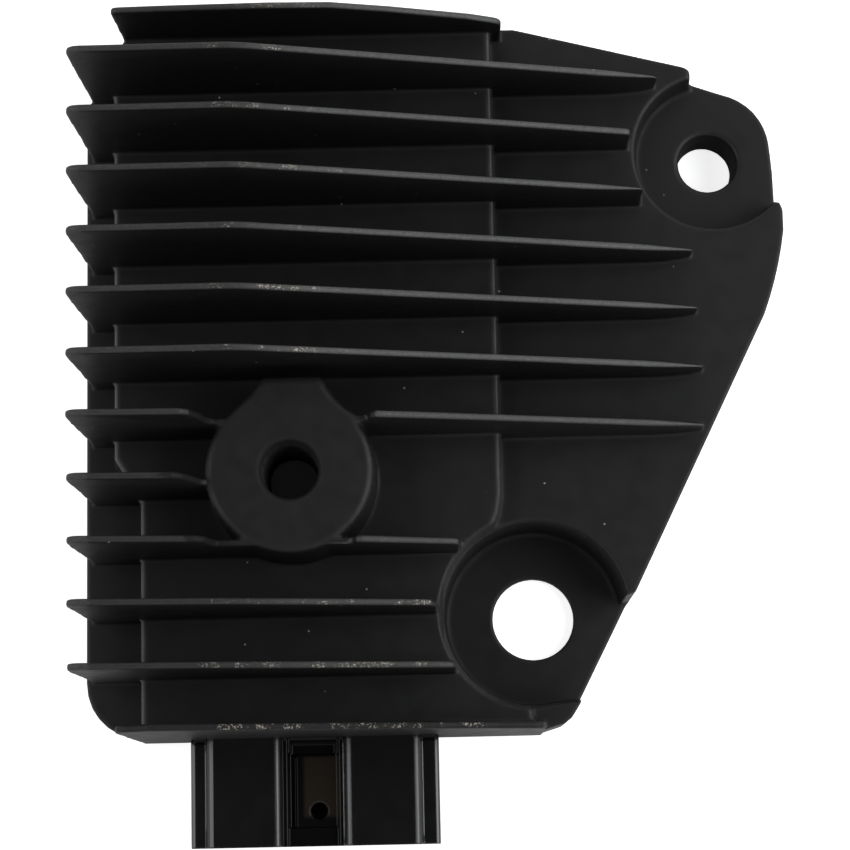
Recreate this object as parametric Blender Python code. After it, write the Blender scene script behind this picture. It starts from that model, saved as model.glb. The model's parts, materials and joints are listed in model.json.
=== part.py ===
import math

import bmesh
import bpy

# All sizes are in millimetres and are turned into metres when a mesh is made.
# +X runs along the fins, +Y points away from the connector, +Z points to the fin tips.
MM = 0.001

# Clearance between separate pieces
gap = 0.3

# Outer limits of the casting
bodyWide = 86.7
bodyLong = 87.8
bodyLeft = -41.6
bodyBottom = -36.9
bodyRight = bodyLeft + bodyWide
bodyTop = bodyBottom + bodyLong
castCorner = 6.7

# Casting levels above the back seat face
plateauTop = 14.0
flangeDrop = 3.7
bandDrop = 4.35
flangeTop = plateauTop - flangeDrop
bandTop = plateauTop - bandDrop

# Connector shell across the front wall, in a window through it
shellMiddleFromLeft = 27.425
shellWide = 30.05
spigotInset = 0.4
spigotOverlap = 0.1
shellMiddle = bodyLeft + shellMiddleFromLeft
shellLeft = shellMiddle - shellWide / 2
shellRight = shellLeft + shellWide
windowLeft = shellLeft + spigotInset
windowRight = shellRight - spigotInset

# Raised plateau over the cavity, between the left band and the right flange
bandWide = 4.55
bandWiden = 3.15
plateauFoot = 0.7
plateauRound = 0.65
cavityWallLeft = 4.45
cavityWallRight = 3.2
cavityPastWindow = 1.85
cavityStepWide = 6.6
plateauLeft = bodyLeft + bandWide
plateauLeftLow = plateauLeft + bandWiden
cavityLeft = plateauLeft + cavityWallLeft
cavityStepX = windowRight - cavityPastWindow
cavityRight = cavityStepX + cavityStepWide
plateauRight = cavityRight + cavityWallRight

# Fins
finCount = 13
finTopInset = 1.424
finLastOver = 0.34
finTipWide = 0.88
finRootWide = 1.35
finLean = 0.012
finEndInset = 0.2
finEndLean = 0.75
finEndRound = 1.4
finTipChamfer = 0.24
finRootDeep = 1.45
finFirstFace = bodyTop - finTopInset
finPitch = (finFirstFace - bodyBottom + finLastOver) / (finCount - 1)
finLeft = bodyLeft + finEndInset
finBase = bandTop - finRootDeep
finLastBase = 2.0
finLastSet = 0.13
finPinch = 1.0
finPinchLong = 6.0

# Fin heights above the plateau: level on the left, falling from a knee to the right
finHigh = 17.0
finKneeHigh = 17.25
finKneeX = -22.2
finMiddleX = 8.0
finMiddleHigh = 8.2
finFall = 0.312

# Upper bolt hole and its spot face
upperHoleFromRight = 8.7
upperHoleFromTop = 16.8
upperHoleWide = 7.3
upperPocketRadius = 9.8
upperPocketDeep = 4.2
upperHoleX = bodyRight - upperHoleFromRight
upperHoleY = bodyTop - upperHoleFromTop
upperPocketX = upperHoleX + 0.35
upperPocketY = upperHoleY + 0.4
upperPocketFloor = flangeTop - upperPocketDeep

# Lower bolt hole and its deep spot face
lowerHolePastPlateau = 4.55
lowerHoleFromBottom = 14.1
lowerHoleWide = 10.1
lowerPocketRadius = 11.2
lowerPocketFloor = 1.8
lowerHoleX = plateauRight + lowerHolePastPlateau
lowerHoleY = bodyBottom + lowerHoleFromBottom
pocketDraft = 0.25
pocketFillet = 0.5
rimSoft = 0.35

# Boss with a blind hole and a neck towards fin seven
bossFromLeft = 25.6
bossFromBottom = 30.4
bossX = bodyLeft + bossFromLeft
bossY = bodyBottom + bossFromBottom
bossHigh = 9.5
bossRadius = 9.95
bossEdge = 0.8
bossHoleWide = 6.8
bossHoleDeep = 12.0
neckHalf = 3.85
neckLong = 11.15
neckX = bossX + 0.3
neckEnd = bossY + neckLong
bossTop = plateauTop + bossHigh

# Cavity in the back
roofThick = 4.0
cavityWallFront = 3.5
cavityWallBack = 4.7
cavityCorner = 2.0
cavityTop = plateauTop - roofThick
cavityBottom = bodyBottom + cavityWallFront
cavityUpper = bodyTop - cavityWallBack
cavityStepY = lowerHoleY + lowerPocketRadius + 0.6

# Connector shell outside the front wall
shellLong = 12.9
shellBottom = 0.35
shellHigh = 8.0
panelHigh = 1.25
channelSunk = 0.35
channelAside = 0.225
channelWide = 6.1
panelEdge = 1.95
channelEdge = 0.72
shoulderRadius = 0.9
shellCorner = 0.5
shellBack = bodyBottom - gap
shellFront = shellBack - shellLong
shellBand = shellBottom + shellHigh
shellPanel = shellBand + panelHigh
shellChannel = shellBand - channelSunk
channelLeft = shellMiddle - channelAside - channelWide / 2
channelRight = channelLeft + channelWide
windowTop = shellBand + 0.55

# Plug socket in the shell
socketWall = 1.5
socketUnder = 1.15
socketOver = 1.0
socketEnd = 1.8
socketFloor = shellBottom + socketUnder
socketCeiling = shellChannel - socketOver
socketBack = shellBack - socketEnd
latchHoleWide = 2.0
latchHoleBack = 4.25
latchHoleAside = 0.425

# Blade terminals
bladeCount = 5
bladeGap = 1.8
bladeThick = 0.8
bladeSide = 1.175
bladeRecess = 5.6
bladeInside = 2.2
bladeTip = shellFront + bladeRecess
bladeInner = cavityBottom + bladeInside
bladeMid = (socketFloor + socketCeiling) / 2
bladePoint = 0.15
bladeSpan = shellWide - 2 * socketWall - 2 * bladeSide
bladeWide = (bladeSpan - (bladeCount - 1) * bladeGap) / bladeCount
bladePitch = bladeWide + bladeGap

# Electronics in the cavity
resinBottom = 0.4
resinThick = 3.1
plateInset = 0.7
plateThick = 1.4
plateFromFront = 25.4
plateFromBack = 5.2
chipHigh = 2.6
chipDeep = 8.0
chipSide = 1.25
chipBetween = 3.0
diodeDeep = 6.0
diodeHigh = 2.2
barWide = 3.0
barThick = 1.0
barSide = 1.5
plateEdge = 1.0
rowGap = 3.0
diodeGap = 6.0
boardThick = 1.2
boardDrop = 2.4
boardSide = 1.6
boardEnd = 2.2
boardGap = 2.5
plateLeft = cavityLeft + plateInset
plateRight = cavityRight - plateInset - 0.9
plateWide = plateRight - plateLeft
chipWide = (plateWide - 2 * chipSide - 2 * chipBetween) / 3
chipPitch = chipWide + chipBetween
diodeWide = chipWide - 2.0
plateFront = cavityBottom + plateFromFront
plateBack = cavityUpper - plateFromBack
plateHigh = cavityTop - gap
plateLow = plateHigh - plateThick
chipTop = plateLow - gap
boardTop = cavityTop - boardDrop
boardLow = boardTop - boardThick
legTop = boardTop + 0.4

# The part's origin is the middle of its foot
centreX = (bodyLeft + bodyRight) / 2
centreY = (bodyTop + shellFront) / 2

# Far enough outside the casting for a cutter
FAR = 20.0


def polar(cx, cy, r, degrees):
    a = math.radians(degrees)
    return (cx + r * math.cos(a), cy + r * math.sin(a))


def arcPoints(cx, cy, r, start, end, count):
    step = (end - start) / count
    return [polar(cx, cy, r, start + step * i) for i in range(count + 1)]


def circle(cx, cy, r, count):
    return [polar(cx, cy, r, 360 * i / count) for i in range(count)]


def around(cx, cy, points):
    return [(cx + dx, cy + dy) for dx, dy in points]


def arcThrough(a, m, b, count):
    # Circle through three points, walked from a to b past m
    ax, ay = a
    mx, my = m
    bx, by = b
    d = 2 * (ax * (my - by) + mx * (by - ay) + bx * (ay - my))
    sa = ax * ax + ay * ay
    sm = mx * mx + my * my
    sb = bx * bx + by * by
    cx = (sa * (my - by) + sm * (by - ay) + sb * (ay - my)) / d
    cy = (sa * (bx - mx) + sm * (ax - bx) + sb * (mx - ax)) / d
    r = math.hypot(ax - cx, ay - cy)
    start = math.atan2(ay - cy, ax - cx)
    end = math.atan2(by - cy, bx - cx)
    middle = math.atan2(my - cy, mx - cx)
    turn = (end - start) % (2 * math.pi)
    if (middle - start) % (2 * math.pi) > turn:
        turn -= 2 * math.pi
    points = []
    for i in range(count + 1):
        t = start + turn * i / count
        points.append((cx + r * math.cos(t), cy + r * math.sin(t)))
    return points


def offsetRing(points, distance):
    # Positive distance grows a ring that runs anticlockwise
    out = []
    count = len(points)
    for i in range(count):
        px, py = points[i - 1]
        x, y = points[i]
        nx, ny = points[(i + 1) % count]
        ax, ay = x - px, y - py
        bx, by = nx - x, ny - y
        al = math.hypot(ax, ay)
        bl = math.hypot(bx, by)
        ux, uy = ay / al, -ax / al
        vx, vy = by / bl, -bx / bl
        scale = 1 + ux * vx + uy * vy
        out.append((x + distance * (ux + vx) / scale, y + distance * (uy + vy) / scale))
    return out


def meshObject(name, vertices, faces):
    mesh = bpy.data.meshes.new(name)
    moved = [((x - centreX) * MM, (y - centreY) * MM, z * MM) for x, y, z in vertices]
    mesh.from_pydata(moved, [], faces)
    mesh.update()
    obj = bpy.data.objects.new(name, mesh)
    bpy.context.scene.collection.objects.link(obj)
    bm = bmesh.new()
    bm.from_mesh(mesh)
    bmesh.ops.recalc_face_normals(bm, faces=bm.faces)
    bm.to_mesh(mesh)
    bm.free()
    return obj


def stack(name, levels):
    # Closed body from rings of equal length, each given with its height
    vertices = []
    faces = []
    count = len(levels[0][0])
    for ring, z in levels:
        vertices.extend([(x, y, z) for x, y in ring])
    for level in range(len(levels) - 1):
        low = level * count
        high = low + count
        for i in range(count):
            j = (i + 1) % count
            faces.append((low + i, low + j, high + j, high + i))
    faces.append(tuple(reversed(range(count))))
    top = (len(levels) - 1) * count
    faces.append(tuple(range(top, top + count)))
    return meshObject(name, vertices, faces)


def prism(name, ring, low, high):
    return stack(name, [(ring, low), (ring, high)])


def box(name, x0, x1, y0, y1, z0, z1):
    return prism(name, [(x0, y0), (x1, y0), (x1, y1), (x0, y1)], z0, z1)


def extrude(name, near, far):
    # Closed body between two equal rings of (x, y, z) points
    count = len(near)
    faces = [(i, (i + 1) % count, count + (i + 1) % count, count + i) for i in range(count)]
    faces.append(tuple(reversed(range(count))))
    faces.append(tuple(range(count, 2 * count)))
    return meshObject(name, near + far, faces)


def profileAlongX(name, ring, x0, x1):
    return extrude(name, [(x0, y, z) for y, z in ring], [(x1, y, z) for y, z in ring])


def profileAlongY(name, ring, y0, y1):
    return extrude(name, [(x, y0, z) for x, z in ring], [(x, y1, z) for x, z in ring])


def combine(target, tool, operation):
    mod = target.modifiers.new("cut", "BOOLEAN")
    mod.operation = operation
    mod.solver = "EXACT"
    mod.object = tool
    bpy.context.view_layer.update()
    graph = bpy.context.evaluated_depsgraph_get()
    baked = bpy.data.meshes.new_from_object(target.evaluated_get(graph))
    target.modifiers.clear()
    target.data = baked
    bpy.data.objects.remove(tool, do_unlink=True)
    return target


def join(target, tool):
    return combine(target, tool, "UNION")


def cut(target, tool):
    return combine(target, tool, "DIFFERENCE")


def tidy(obj):
    bm = bmesh.new()
    bm.from_mesh(obj.data)
    bmesh.ops.remove_doubles(bm, verts=bm.verts, dist=0.000004)
    bmesh.ops.dissolve_degenerate(bm, edges=bm.edges, dist=0.000004)
    bmesh.ops.dissolve_limit(bm, angle_limit=math.radians(0.05), verts=bm.verts, edges=bm.edges)
    bmesh.ops.triangulate(bm, faces=bm.faces)
    bmesh.ops.recalc_face_normals(bm, faces=bm.faces)
    bm.to_mesh(obj.data)
    bm.free()
    obj.data.shade_smooth()
    obj.data.set_sharp_from_angle(angle=math.radians(32))


def settle(obj):
    # Own origin at the middle of the piece's foot
    low = [min(v.co[i] for v in obj.data.vertices) for i in range(3)]
    high = [max(v.co[i] for v in obj.data.vertices) for i in range(3)]
    foot = ((low[0] + high[0]) / 2, (low[1] + high[1]) / 2, low[2])
    for vertex in obj.data.vertices:
        vertex.co = [vertex.co[i] - foot[i] for i in range(3)]
    obj.location = foot


def finish(obj, name, colour, metallic, roughness):
    tidy(obj)
    settle(obj)
    material = bpy.data.materials.get(name)
    if material is None:
        material = bpy.data.materials.new(name)
        material.use_nodes = True
        shader = material.node_tree.nodes["Principled BSDF"]
        shader.inputs["Base Color"].default_value = (colour[0], colour[1], colour[2], 1.0)
        shader.inputs["Metallic"].default_value = metallic
        shader.inputs["Roughness"].default_value = roughness
    obj.data.materials.clear()
    obj.data.materials.append(material)


def castingOutline():
    c = castCorner
    ring = arcPoints(bodyLeft + c, bodyBottom + c, c, 180, 270, 7)
    # Foot of the lower ear and its slanted side
    ring += [(lowerHoleX - 1.35, bodyBottom), (lowerHoleX + 0.65, bodyBottom + 0.05)]
    side = [(3.15, -13.3), (4.05, -12.6), (5.1, -10.95), (11.55, 1.4), (12.0, 1.95)]
    ring += around(lowerHoleX, lowerHoleY, side)
    # Long right side, bowed out a little
    low = (bodyRight - 2.8, upperHoleY - 20.4)
    middle = (bodyRight - 0.75, upperHoleY - 13.8)
    ring += arcThrough(low, middle, (bodyRight, upperHoleY - 9.9), 5)
    ring += [(bodyRight, upperHoleY - 7.2), (bodyRight - 0.4, upperHoleY - 6.1)]
    # Round upper ear
    ear = around(upperHoleX, upperHoleY, [(8.2, -1.1), (7.95, 2.2), (6.35, 6.35), (2.1, 9.05)])
    ring += [ear[0]] + arcThrough(ear[1], ear[2], ear[3], 8)
    ring += around(upperHoleX, upperHoleY, [(-2.05, 10.5), (-2.3, 11.05), (-3.0, 11.45)])
    # Top edge and its clipped left corner
    ring += [(upperHoleX - 24.2, bodyTop), (bodyLeft + 6.8, bodyTop), (bodyLeft + 6.0, bodyTop - 0.5)]
    ring.append((bodyLeft, bodyTop - 8.9))
    return ring


def finStations(points, leftRound, rightRound):
    # Height along a fin, with both top corners rounded
    x0, z0 = points[0]
    x1, z1 = points[-1]
    out = []
    for angle in (0, 30, 60, 90):
        a = math.radians(angle)
        out.append((x0 + leftRound * (1 - math.cos(a)), z0 - leftRound * (1 - math.sin(a))))
    out += points[1:-1]
    slope = (points[-2][1] - z1) / (x1 - points[-2][0])
    for angle in (90, 50, 0):
        a = math.radians(angle)
        x = x1 - rightRound * (1 - math.cos(a))
        out.append((x, z1 + slope * (x1 - x) - rightRound * (1 - math.sin(a))))
    return out


def fin(name, face, stations, base, pinch):
    # Tapered plate whose left end slants in, and whose root narrows towards its right end
    vertices = []
    c = finTipChamfer
    for x, z in stations:
        foot = x + finEndLean * max(0.0, 1 - (x - stations[0][0]) / finEndRound)
        nearEnd = max(0.0, 1 - (stations[-1][0] - x) / finPinchLong)
        top = z + plateauTop
        near = face + finLean * z
        far = near + finTipWide
        low = face + finLean * (base - plateauTop) + pinch * nearEnd * nearEnd
        vertices += [(foot, low, base), (x, near, top - c), (x, near + c, top)]
        vertices += [(x, far - c, top), (x, far, top - c), (foot, face + finRootWide, base)]
    faces = []
    for s in range(len(stations) - 1):
        a = s * 6
        b = a + 6
        for i in range(6):
            j = (i + 1) % 6
            faces.append((a + i, a + j, b + j, b + i))
    faces += [(5, 4, 1, 0), (4, 3, 2, 1)]
    end = (len(stations) - 1) * 6
    faces.append(tuple(range(end, end + 6)))
    return meshObject(name, vertices, faces)


def fallingEnd(right):
    # Points along the straight fall, close enough together for the narrowed root
    ends = [right - finPinchLong * share for share in (1, 2 / 3, 1 / 3, 0)]
    ends = [finMiddleX] + [x for x in ends if x > finMiddleX]
    return [(x, finMiddleHigh - finFall * (x - finMiddleX)) for x in ends]


def fullProfile(right):
    # Whole fin: level over the left half, then falling steadily to the right
    points = [(finLeft, finHigh), (finKneeX, finKneeHigh), (finKneeX + 2.2, finKneeHigh - 0.45)]
    return finStations(points + fallingEnd(right), finEndRound, 0.6)


def finProfiles():
    # Right ends of the whole fins, measured back from the casting's right side
    fromRight = {2: 15.5, 3: 19.1, 4: 17.8, 5: 11.8, 6: 11.4, 7: 11.0}
    top = {index: fullProfile(bodyRight - inset) for index, inset in fromRight.items()}

    # First fin: low and gently crowned
    first = [(4.6, 9.6), (11.6, 9.9), (23.6, 10.2), (31.1, 9.9), (38.1, 8.0), (48.1, 4.6), (52.05, 2.6)]
    top[1] = finStations(around(bodyLeft, 0, first), 0.8, 0.8)

    # Fins that run into the boss drop to a web just under its face
    web = bossHigh - 0.15
    eight = [(-12.0, 16.4), (-11.1, 15.5), (-10.2, 13.0), (-9.6, 10.4), (-9.0, web), (8.8, web)]
    eight += [(9.3, web + 0.3), (9.6, 11.2), (10.3, 12.2)]
    eight = [(finLeft, finHigh)] + around(bossX, 0, eight) + fallingEnd(bodyRight - 11.2)
    top[8] = finStations(eight, finEndRound, 0.6)
    nine = [(-13.0, 15.4), (-12.0, 14.4), (-11.1, 12.0), (-10.4, 10.0), (-9.8, web), (0.0, web), (4.0, web)]
    top[9] = finStations([(finLeft, 16.2)] + around(bossX, 0, nine), finEndRound, 0.1)
    ten = [(-10.6, 14.0), (-9.7, 13.0), (-9.2, 11.0), (-8.6, web), (6.8, web)]
    ten += [(7.3, web + 0.3), (7.7, 10.6), (8.4, 11.0), (19.9, 6.9)]
    top[10] = finStations([(finLeft, 15.8)] + around(bossX, 0, ten), finEndRound, 0.8)

    # Short fins beside the lower bolt hole
    end = lowerHoleX
    eleven = [(finLeft, 15.8), (-24.0, 14.0), (end - 14.45, 8.3), (end - 12.05, 7.6)]
    top[11] = finStations(eleven, finEndRound, 1.6)
    twelve = [(finLeft, 15.0), (-24.0, 13.2), (end - 11.95, 7.6), (end - 9.95, 6.9)]
    top[12] = finStations(twelve, finEndRound, 0.9)
    last = [(bodyLeft + 5.3, 13.5), (-32.0, 14.4), (-24.0, 13.0), (end - 11.95, 7.6), (end + 0.65, 3.6)]
    top[13] = finStations(last, 2.6, 1.2)
    return top


def bossRing():
    # Round boss, with the neck drawn in by short hollow curves
    x = neckX
    ring = arcPoints(bossX, bossY, bossRadius, -211, 31, 30)
    root = around(bossX, bossY, [(7.9, 6.6), (5.8, 8.2)])
    ring += arcThrough(root[0], root[1], (x + neckHalf + 0.5, neckEnd - 1.45), 3)
    ring += [(x + neckHalf, neckEnd - 0.5), (x + neckHalf - 0.5, neckEnd)]
    ring += [(x - neckHalf + 0.5, neckEnd), (x - neckHalf, neckEnd - 0.5)]
    ring += around(bossX, bossY, [(-4.6, 9.2), (-6.4, 7.6), (-8.0, 6.1)])
    return ring


def cavityRing():
    # Rounded corners where the casting leaves room for them
    r = cavityCorner
    ring = arcPoints(cavityLeft + r, cavityBottom + r, r, 180, 270, 4)
    ring += [(cavityStepX, cavityBottom), (cavityStepX, cavityStepY - 5), (cavityRight, cavityStepY)]
    ring += arcPoints(cavityRight - r, cavityUpper - r, r, 0, 90, 4)
    ring += arcPoints(cavityLeft + r, cavityUpper - r, r, 90, 180, 4)
    return ring


def plateauCutter(name, ring, floor):
    # Takes the casting down beside the plateau and leaves a wall with a rounded top edge
    r = plateauRound
    levels = [(offsetRing(ring, -plateauFoot), floor)]
    for angle in (0, 30, 60, 90):
        a = math.radians(angle)
        levels.append((offsetRing(ring, r * (1 - math.cos(a)) - r), plateauTop - r * (1 - math.sin(a))))
    crown = offsetRing(ring, 0.12)
    levels += [(crown, plateauTop + 0.02), (crown, plateauTop + FAR)]
    return stack(name, levels)


def pocketCutter(name, ring, floor):
    # Walls with draft, a fillet at the floor and a softened rim
    r = pocketFillet
    levels = [(offsetRing(ring, -r - pocketDraft), floor)]
    for angle in (30, 60, 90):
        a = math.radians(angle)
        inward = pocketDraft + r * (1 - math.sin(a))
        levels.append((offsetRing(ring, -inward), floor + r * (1 - math.cos(a))))
    rim = offsetRing(ring, rimSoft + 0.2)
    levels.append((ring, flangeTop - rimSoft))
    levels.append((offsetRing(ring, rimSoft - 0.05), flangeTop))
    levels.append((rim, plateauTop + 0.02))
    levels.append((rim, plateauTop + FAR))
    return stack(name, levels)


def cutRightStep(body):
    x = plateauRight
    y = lowerHoleY
    ring = [(x, bodyTop + FAR), (x, y + 14.2)]
    ring += arcThrough((x - 0.3, y + 12.2), (x - 1.4, y + 9.9), (x - 3.2, y + 8.2), 3)
    # From here the edge runs inside the lower pocket and out of the front
    ring += around(lowerHoleX, y, [(-3.95, 3.8), (-3.95, -7.2), (-1.45, -11.8), (2.05, -14.1 - FAR)])
    ring += [(bodyRight + FAR, bodyBottom - FAR), (bodyRight + FAR, bodyTop + FAR)]
    cut(body, plateauCutter("right_step", ring, flangeTop))


def cutLeftStep(body):
    y = bossY
    ring = [(plateauLeft, bodyTop + FAR), (bodyLeft - FAR, bodyTop + FAR)]
    ring += [(bodyLeft - FAR, bodyBottom - FAR), (plateauLeftLow, bodyBottom - FAR)]
    bend = (plateauLeftLow - 1.1, y - 0.1)
    ring += arcThrough((plateauLeftLow, y - 2.1), bend, (plateauLeft, y + 3.3), 4)
    cut(body, plateauCutter("left_step", ring, bandTop))


def addBoss(body):
    ring = bossRing()
    levels = [(offsetRing(ring, 0.2), finBase), (ring, bossTop - bossEdge)]
    levels += [(offsetRing(ring, -bossEdge * 0.3), bossTop - bossEdge * 0.3)]
    levels += [(offsetRing(ring, -bossEdge), bossTop)]
    join(body, stack("boss", levels))


def addFins(body):
    tops = finProfiles()
    for index in sorted(tops):
        face = finFirstFace - finPitch * (index - 1)
        base = finBase
        if index == finCount:
            # The last fin rises straight out of the front wall
            face = bodyBottom - finLastSet
            base = finLastBase
        pinch = finPinch if index in (2, 5, 6, 7, 8) else 0.0
        join(body, fin("fin", face, tops[index], base, pinch))


def cutUpperHole(body):
    # Spot face that opens out of the ear's side, and the hole through it
    far = bodyRight + FAR
    ring = arcPoints(upperPocketX, upperPocketY, upperPocketRadius, 105, 318, 30)
    ring += [(far, upperHoleY - 7.1), (far, bodyTop + FAR), (upperHoleX - 2.1, bodyTop + FAR)]
    cut(body, pocketCutter("upper_pocket", ring, upperPocketFloor))
    ring = circle(upperHoleX, upperHoleY, upperHoleWide / 2, 32)
    rim = offsetRing(ring, rimSoft)
    levels = [(offsetRing(ring, -0.2), -1.0), (ring, upperPocketFloor - rimSoft)]
    levels += [(rim, upperPocketFloor), (rim, plateauTop)]
    cut(body, stack("upper_hole", levels))


def cutLowerHole(body):
    ring = arcPoints(lowerHoleX, lowerHoleY, lowerPocketRadius, 10, 268, 34)
    ring += around(lowerHoleX, lowerHoleY, [(11.05, -9.8), (19.05, -3.2), (15.55, 3.5)])
    cut(body, pocketCutter("lower_pocket", ring, lowerPocketFloor))
    ring = circle(lowerHoleX, lowerHoleY, lowerHoleWide / 2, 36)
    cut(body, prism("lower_hole", ring, -1.0, lowerPocketFloor + 4))


def cutBossHole(body):
    ring = circle(bossX, bossY, bossHoleWide / 2, 32)
    rim = offsetRing(ring, rimSoft)
    levels = [(offsetRing(ring, -rimSoft), bossTop - bossHoleDeep), (ring, bossTop - rimSoft)]
    levels += [(rim, bossTop), (rim, bossTop + 3)]
    cut(body, stack("boss_hole", levels))


def heatsinkBody():
    body = prism("heatsink_body", castingOutline(), 0.0, plateauTop)
    cutRightStep(body)
    cutLeftStep(body)
    addBoss(body)
    addFins(body)
    cutUpperHole(body)
    cutLowerHole(body)
    cutBossHole(body)
    ring = cavityRing()
    cut(body, stack("cavity", [(offsetRing(ring, 0.15), -1.0), (ring, cavityTop)]))
    front = bodyBottom - 2
    cut(body, box("window", windowLeft, windowRight, front, cavityBottom + 1, -1.0, windowTop))
    finish(body, "black painted cast aluminium", (0.012, 0.012, 0.013), 0.1, 0.5)


def shoulder(x, z, r, side):
    # Quarter round on the top edge of a raised panel
    points = []
    for angle in (0, 30, 60, 90):
        a = math.radians(angle)
        points.append((x + side * r * (1 - math.cos(a)), z - r * (1 - math.sin(a))))
    return points


def raisedPanel(left, right):
    # Section of one raised panel, walked from right to left
    points = [(right, shellBand)] + shoulder(right, shellPanel, shoulderRadius, -1)
    points += list(reversed(shoulder(left, shellPanel, shoulderRadius, 1)))
    points.append((left, shellBand))
    return points


def bladeX(index):
    return shellMiddle + (index - (bladeCount - 1) / 2) * bladePitch


def connectorHousing():
    e = shellCorner
    s = 0.15
    ring = [(shellLeft + e, shellBottom), (shellRight - e, shellBottom), (shellRight, shellBottom + e)]
    ring += [(shellRight, shellBand - e), (shellRight - s, shellBand - s), (shellRight - e, shellBand)]
    ring += raisedPanel(channelRight + channelEdge, shellRight - panelEdge - 0.2)
    ring += [(channelRight + s, shellBand), (channelRight, shellBand - s)]
    ring += [(channelRight, shellChannel), (channelLeft, shellChannel)]
    ring += [(channelLeft, shellBand - s), (channelLeft - s, shellBand)]
    ring += raisedPanel(shellLeft + panelEdge, channelLeft - channelEdge)
    ring += [(shellLeft + e, shellBand), (shellLeft + s, shellBand - s)]
    ring += [(shellLeft, shellBand - e), (shellLeft, shellBottom + e)]
    shell = profileAlongY("connector_housing", ring, shellFront, shellBack)

    # Spigot that reaches through the casting's front wall
    left = windowLeft + gap
    right = windowRight - gap
    inside = cavityBottom - 0.4
    near = shellBack - spigotOverlap
    join(shell, box("spigot", left, right, near, inside, shellBottom + s, windowTop - gap))

    # Socket for the plug, open at the front
    x0 = shellLeft + socketWall
    x1 = shellRight - socketWall
    low = socketFloor
    high = socketCeiling
    inner = [(x0 + e, low), (x1 - e, low), (x1, low + e), (x1, high - e)]
    inner += [(x1 - e, high), (x0 + e, high), (x0, high - e), (x0, low + e)]
    cut(shell, profileAlongY("socket", inner, shellFront - 2, socketBack))
    for index in range(bladeCount):
        x = bladeX(index)
        half = bladeWide / 2 + gap
        rise = bladeThick / 2 + gap
        slot = box("slot", x - half, x + half, socketBack - 1, inside + 1, bladeMid - rise, bladeMid + rise)
        cut(shell, slot)

    # Latch channel: a deep step at the back, a side slot, a shallow well and a small hole
    over = shellPanel + 2
    back = shellBack - 2.0
    front = shellFront + 2.2
    step = box("step", channelLeft + 0.4, channelRight - 0.4, back, back + 1.4, socketCeiling + 0.3, over)
    cut(shell, step)
    side = channelLeft + 0.95
    cut(shell, box("side", channelLeft + s, side + 0.05, front, back + 0.4, shellChannel - 0.55, over))
    cut(shell, box("well", side - 0.05, channelRight - 0.12, front, back + 0.2, shellChannel - 0.25, over))
    ring = circle(shellMiddle + latchHoleAside, shellFront + latchHoleBack, latchHoleWide / 2, 24)
    rim = offsetRing(ring, 0.2)
    levels = [(ring, socketCeiling - 1), (ring, shellChannel - 0.45)]
    levels += [(rim, shellChannel - 0.24), (rim, over)]
    cut(shell, stack("latch_hole", levels))
    finish(shell, "black glass filled nylon", (0.01, 0.01, 0.012), 0.0, 0.3)


def terminals():
    low = bladeMid - bladeThick / 2
    high = bladeMid + bladeThick / 2
    names = ["phase_a", "phase_b", "phase_c", "positive", "negative"]
    for index in range(bladeCount):
        # Tapered tip in the socket, flat blade, and a leg turned up to the board
        ring = [(bladeTip, bladeMid - bladePoint), (bladeTip + 1.0, low), (bladeInner, low)]
        ring += [(bladeInner, legTop), (bladeInner - bladeThick, legTop), (bladeInner - bladeThick, high)]
        ring += [(bladeTip + 1.0, high), (bladeTip, bladeMid + bladePoint)]
        x = bladeX(index)
        blade = profileAlongX("terminal_" + names[index], ring, x - bladeWide / 2, x + bladeWide / 2)
        finish(blade, "tin plated brass " + names[index], (0.55, 0.53, 0.48), 1.0, 0.32)


def pottingResin():
    resin = prism("potting_resin", offsetRing(cavityRing(), -gap), resinBottom, resinBottom + resinThick)
    finish(resin, "black potting resin", (0.014, 0.013, 0.012), 0.0, 0.45)


def hungBlock(name, x, y, wide, deep, high, material, colour, metallic):
    # Block bonded under the substrate plate, given by its middle
    block = box(name, x - wide / 2, x + wide / 2, y - deep / 2, y + deep / 2, chipTop - high, chipTop)
    finish(block, material, colour, metallic, 0.45)


def powerStage():
    plate = box("substrate_plate", plateLeft, plateRight, plateFront, plateBack, plateLow, plateHigh)
    finish(plate, "insulated aluminium plate", (0.62, 0.63, 0.64), 1.0, 0.4)
    middle = (plateLeft + plateRight) / 2
    row = plateBack - plateEdge - chipDeep / 2
    positiveY = row - chipDeep / 2 - rowGap - barWide / 2
    diodeY = positiveY - barWide / 2 - diodeGap - diodeDeep / 2
    negativeY = diodeY - diodeDeep / 2 - rowGap - barWide / 2
    black = (0.02, 0.02, 0.022)
    for index, letter in enumerate("abc"):
        x = middle + (index - 1) * chipPitch
        case = "epoxy thyristor case " + letter
        hungBlock("thyristor_" + letter, x, row, chipWide, chipDeep, chipHigh, case, black, 0.0)
        case = "epoxy diode case " + letter
        hungBlock("diode_" + letter, x, diodeY, diodeWide, diodeDeep, diodeHigh, case, black, 0.0)
    long = plateWide - 2 * barSide
    copper = (0.72, 0.35, 0.2)
    for name, y in (("positive", positiveY), ("negative", negativeY)):
        material = "copper " + name + " bar"
        hungBlock(name + "_bus_bar", middle, y, long, barWide, barThick, material, copper, 1.0)


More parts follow.
